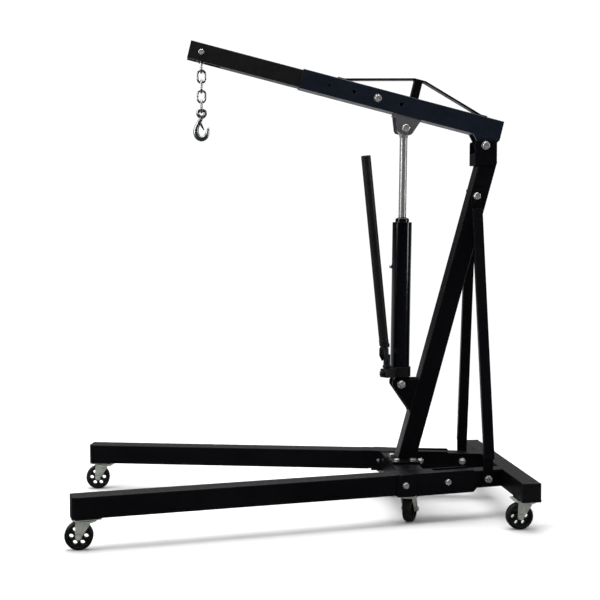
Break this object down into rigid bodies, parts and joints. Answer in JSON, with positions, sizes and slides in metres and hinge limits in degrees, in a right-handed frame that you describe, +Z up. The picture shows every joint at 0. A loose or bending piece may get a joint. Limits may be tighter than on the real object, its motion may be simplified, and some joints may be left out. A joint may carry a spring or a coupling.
{
  "type": "engine hoist crane",
  "caption": "Foldable engine hoist: splayed legs on casters, leaning mast, extending boom with chain hook, and a hand-pumped hydraulic ram.",
  "frame": {"origin": "on the floor, in the centre plane, under the middle of the rear crossbeam", "axes": "+Z up, -X forward along the boom and legs, -Y to the crane's left"},
  "size_m": [1.546, 0.9534, 1.6385],
  "materials": {
    "frame_paint": "semi-gloss black powder coat",
    "boom_paint": "semi-gloss blue-black powder coat",
    "extension_paint": "semi-gloss deep black powder coat",
    "ram_paint": "gloss black enamel",
    "cast_paint": "black painted casting",
    "bracket_paint": "dark grey paint",
    "zinc": "bright zinc plate",
    "rod_steel": "ground and oiled steel",
    "caster_zinc": "zinc plated pressed steel",
    "wheel_black": "moulded black polyolefin",
    "chain_zinc": "bright plated welded chain",
    "hook_steel": "polished forged steel",
    "cap_plastic": "black plastic plug",
    "steel": "machined steel"
  },
  "bodies": {
    "base": {"base_frame": "frame_paint", "crossbeam_end_caps": "cap_plastic", "mast": "frame_paint", "mast_foot_bolts": "zinc", "left_brace": "frame_paint", "right_brace": "frame_paint", "brace_bolts": "zinc", "leg_pivot_bolts": "zinc", "rear_caster_plates": "caster_zinc", "middle_caster_kingpins": "caster_zinc"},
    "left_leg": {"left_leg": "frame_paint", "left_front_caster_plate": "caster_zinc"},
    "right_leg": {"right_leg": "frame_paint", "right_front_caster_plate": "caster_zinc"},
    "left_lock_pin": {"left_leg_lock_pin": "zinc"},
    "right_lock_pin": {"right_leg_lock_pin": "zinc"},
    "front_left_caster": {"front_left_caster_fork": "caster_zinc"},
    "front_left_wheel": {"front_left_caster_wheel": "wheel_black"},
    "front_right_caster": {"front_right_caster_fork": "caster_zinc"},
    "front_right_wheel": {"front_right_caster_wheel": "wheel_black"},
    "middle_left_caster": {"middle_left_caster_fork": "caster_zinc"},
    "middle_left_wheel": {"middle_left_caster_wheel": "wheel_black"},
    "middle_right_caster": {"middle_right_caster_fork": "caster_zinc"},
    "middle_right_wheel": {"middle_right_caster_wheel": "wheel_black"},
    "rear_left_caster": {"rear_left_caster_fork": "caster_zinc"},
    "rear_left_wheel": {"rear_left_caster_wheel": "wheel_black"},
    "rear_right_caster": {"rear_right_caster_fork": "caster_zinc"},
    "rear_right_wheel": {"rear_right_caster_wheel": "wheel_black"},
    "boom_pivot_bolt": {"boom_pivot_bolt": "zinc"},
    "boom": {"boom_tube": "boom_paint", "boom_truss_post": "frame_paint", "boom_truss_strap": "frame_paint", "ram_top_bracket": "bracket_paint", "ram_top_bolt": "zinc", "extension_lock_bolt": "zinc"},
    "boom_extension": {"boom_extension": "extension_paint"},
    "hook_bolt": {"hook_bolt": "zinc"},
    "chain_link_1": {"chain_link_1": "chain_zinc"},
    "chain_link_2": {"chain_link_2": "chain_zinc"},
    "chain_link_3": {"chain_link_3": "chain_zinc"},
    "chain_link_4": {"chain_link_4": "chain_zinc"},
    "chain_link_5": {"chain_link_5": "chain_zinc"},
    "chain_link_6": {"chain_link_6": "chain_zinc"},
    "hook": {"hook": "hook_steel"},
    "hook_latch": {"hook_latch": "hook_steel"},
    "ram_foot_bolt": {"ram_foot_bolt": "zinc"},
    "ram_cylinder": {"ram_base": "cast_paint", "ram_reservoir_tube": "ram_paint", "ram_pressure_tube": "steel", "ram_gland_nut": "ram_paint", "filler_plug": "zinc", "pump_barrel": "cast_paint"},
    "stop_tube": {"stop_tube": "steel"},
    "ram_rod": {"ram_rod": "rod_steel", "ram_piston": "steel"},
    "pump_plunger": {"pump_plunger": "zinc"},
    "pump_lever": {"pump_lever": "cast_paint"},
    "pump_handle": {"pump_handle": "extension_paint"},
    "release_valve": {"release_valve": "zinc"}
  },
  "joints": [
    {"name": "left_leg_fold", "type": "hinge", "parent": "base", "child": "left_leg", "pos_m": [-0.24472, -0.18512, 0.137], "axis": [-0.2045, 0.9789, 0], "range_deg": [0, 90]},
    {"name": "right_leg_fold", "type": "hinge", "parent": "base", "child": "right_leg", "pos_m": [-0.24472, 0.18512, 0.137], "axis": [0.2045, 0.9789, 0], "range_deg": [0, 90]},
    {"name": "left_lock_pin_pull", "type": "slide", "parent": "base", "child": "left_lock_pin", "axis": [0.2045, -0.9789, 0], "range_m": [0, 0.11]},
    {"name": "right_lock_pin_pull", "type": "slide", "parent": "base", "child": "right_lock_pin", "axis": [0.2045, 0.9789, 0], "range_m": [0, 0.11]},
    {"name": "front_left_caster_swivel", "type": "hinge", "parent": "left_leg", "child": "front_left_caster", "pos_m": [-1.43355, -0.43348, 0.102], "axis": [0, 0, 1], "continuous": true},
    {"name": "front_left_wheel_roll", "type": "hinge", "parent": "front_left_caster", "child": "front_left_wheel", "pos_m": [-1.45555, -0.43348, 0.04445], "axis": [0, 1, 0], "continuous": true},
    {"name": "front_right_caster_swivel", "type": "hinge", "parent": "right_leg", "child": "front_right_caster", "pos_m": [-1.43355, 0.43348, 0.102], "axis": [0, 0, 1], "continuous": true},
    {"name": "front_right_wheel_roll", "type": "hinge", "parent": "front_right_caster", "child": "front_right_wheel", "pos_m": [-1.45555, 0.43348, 0.04445], "axis": [0, 1, 0], "continuous": true},
    {"name": "middle_left_caster_swivel", "type": "hinge", "parent": "base", "child": "middle_left_caster", "pos_m": [-0.37295, -0.21191, 0.102], "axis": [0, 0, 1], "continuous": true},
    {"name": "middle_left_wheel_roll", "type": "hinge", "parent": "middle_left_caster", "child": "middle_left_wheel", "pos_m": [-0.36262, -0.19249, 0.04445], "axis": [0.8829, -0.4695, 0], "continuous": true},
    {"name": "middle_right_caster_swivel", "type": "hinge", "parent": "base", "child": "middle_right_caster", "pos_m": [-0.37295, 0.21191, 0.102], "axis": [0, 0, 1], "continuous": true},
    {"name": "middle_right_wheel_roll", "type": "hinge", "parent": "middle_right_caster", "child": "middle_right_wheel", "pos_m": [-0.36262, 0.19249, 0.04445], "axis": [-0.8829, -0.4695, 0], "continuous": true},
    {"name": "rear_left_caster_swivel", "type": "hinge", "parent": "base", "child": "rear_left_caster", "pos_m": [0, -0.335, 0.102], "axis": [0, 0, 1], "continuous": true},
    {"name": "rear_left_wheel_roll", "type": "hinge", "parent": "rear_left_caster", "child": "rear_left_wheel", "pos_m": [-0.022, -0.335, 0.04445], "axis": [0, 1, 0], "continuous": true},
    {"name": "rear_right_caster_swivel", "type": "hinge", "parent": "base", "child": "rear_right_caster", "pos_m": [0, 0.335, 0.102], "axis": [0, 0, 1], "continuous": true},
    {"name": "rear_right_wheel_roll", "type": "hinge", "parent": "rear_right_caster", "child": "rear_right_wheel", "pos_m": [-0.022, 0.335, 0.04445], "axis": [0, 1, 0], "continuous": true},
    {"name": "boom_lower", "type": "hinge", "parent": "base", "child": "boom_pivot_bolt", "pos_m": [-0.068, 0, 1.288], "axis": [0, 1, 0], "range_deg": [-52, 0]},
    {"name": "boom_raise", "type": "hinge", "parent": "boom_pivot_bolt", "child": "boom", "pos_m": [-0.068, 0, 1.288], "axis": [0, 1, 0], "range_deg": [0, 40]},
    {"name": "extension_slide", "type": "slide", "parent": "boom", "child": "boom_extension", "axis": [-0.9711, 0, 0.2385], "range_m": [-0.0865, 0.173]},
    {"name": "hook_bolt_level", "type": "hinge", "parent": "boom_extension", "child": "hook_bolt", "pos_m": [-1.06053, 0, 1.59872], "axis": [0, 1, 0], "range_deg": [0, 52.01]},
    {"name": "chain_level", "type": "hinge", "parent": "hook_bolt", "child": "chain_link_1", "pos_m": [-1.06053, 0, 1.59872], "axis": [0, 1, 0], "range_deg": [-40.01, 0]},
    {"name": "chain_swing", "type": "hinge", "parent": "chain_link_1", "child": "chain_link_2", "pos_m": [-1.06053, 0, 1.57887], "axis": [0, 1, 0], "range_deg": [-15, 15]},
    {"name": "chain_swing_2", "type": "hinge", "parent": "chain_link_2", "child": "chain_link_3", "pos_m": [-1.06053, 0, 1.53202], "axis": [0, 1, 0], "range_deg": [-5.3, 5.3]},
    {"name": "chain_swing_3", "type": "hinge", "parent": "chain_link_3", "child": "chain_link_4", "pos_m": [-1.06053, 0, 1.51117], "axis": [0, 1, 0], "range_deg": [-5.3, 5.3]},
    {"name": "chain_swing_4", "type": "hinge", "parent": "chain_link_4", "child": "chain_link_5", "pos_m": [-1.06053, 0, 1.46432], "axis": [0, 1, 0], "range_deg": [-5.3, 5.3]},
    {"name": "chain_swing_5", "type": "hinge", "parent": "chain_link_5", "child": "chain_link_6", "pos_m": [-1.06053, 0, 1.44347], "axis": [0, 1, 0], "range_deg": [-5.3, 5.3]},
    {"name": "hook_swing", "type": "hinge", "parent": "chain_link_6", "child": "hook", "pos_m": [-1.06053, 0, 1.39662], "axis": [0, 1, 0], "range_deg": [-25, 25]},
    {"name": "hook_latch_open", "type": "hinge", "parent": "hook", "child": "hook_latch", "pos_m": [-1.06253, 0, 1.35577], "axis": [0, 1, 0], "range_deg": [0, 20]},
    {"name": "ram_tilt_lower", "type": "hinge", "parent": "base", "child": "ram_foot_bolt", "pos_m": [-0.363, 0, 0.448], "axis": [0, 1, 0], "range_deg": [0, 5.79]},
    {"name": "ram_tilt_raise", "type": "hinge", "parent": "ram_foot_bolt", "child": "ram_cylinder", "pos_m": [-0.363, 0, 0.448], "axis": [0, 1, 0], "range_deg": [0, 5.47]},
    {"name": "ram_stroke_lower", "type": "slide", "parent": "ram_cylinder", "child": "stop_tube", "axis": [0.012, 0, 0.9999], "range_m": [-0.24241, 0]},
    {"name": "ram_stroke_raise", "type": "slide", "parent": "stop_tube", "child": "ram_rod", "axis": [0.012, 0, 0.9999], "range_m": [0, 0.17517]},
    {"name": "pump_lever_stroke", "type": "hinge", "parent": "ram_cylinder", "child": "pump_lever", "pos_m": [-0.42866, -0.04703, 0.57479], "axis": [0.5735, -0.8192, -0.0069], "range_deg": [0, 50]},
    {"name": "pump_plunger_stroke", "type": "slide", "parent": "ram_cylinder", "child": "pump_plunger", "axis": [0.012, 0, 0.9999], "range_m": [0, 0.0112]},
    {"name": "pump_handle_pull", "type": "slide", "parent": "pump_lever", "child": "pump_handle", "axis": [-0.1163, -0.0897, 0.9892], "range_m": [0, 0.12]},
    {"name": "release_valve_turn", "type": "hinge", "parent": "ram_cylinder", "child": "release_valve", "pos_m": [-0.43704, -0.05219, 0.49089], "axis": [-0.8191, -0.5736, 0.0098], "range_deg": [0, 180]}
  ],
  "couplings": [
    {"joint": "hook_bolt_level", "follows": "boom_lower", "ratio": -1},
    {"joint": "chain_level", "follows": "boom_raise", "ratio": -1},
    {"joint": "chain_swing_2", "follows": "chain_swing", "ratio": 0.35},
    {"joint": "chain_swing_3", "follows": "chain_swing", "ratio": 0.35},
    {"joint": "chain_swing_4", "follows": "chain_swing", "ratio": 0.35},
    {"joint": "chain_swing_5", "follows": "chain_swing", "ratio": 0.35},
    {"joint": "ram_tilt_lower", "follows": "boom_lower", "ratio": -0.11118},
    {"joint": "ram_tilt_raise", "follows": "boom_raise", "ratio": 0.13638},
    {"joint": "ram_stroke_lower", "follows": "boom_lower", "m_per_rad": 0.26705},
    {"joint": "ram_stroke_raise", "follows": "boom_raise", "m_per_rad": 0.25085},
    {"joint": "pump_plunger_stroke", "follows": "pump_lever_stroke", "m_per_rad": 0.012605}
  ]
}
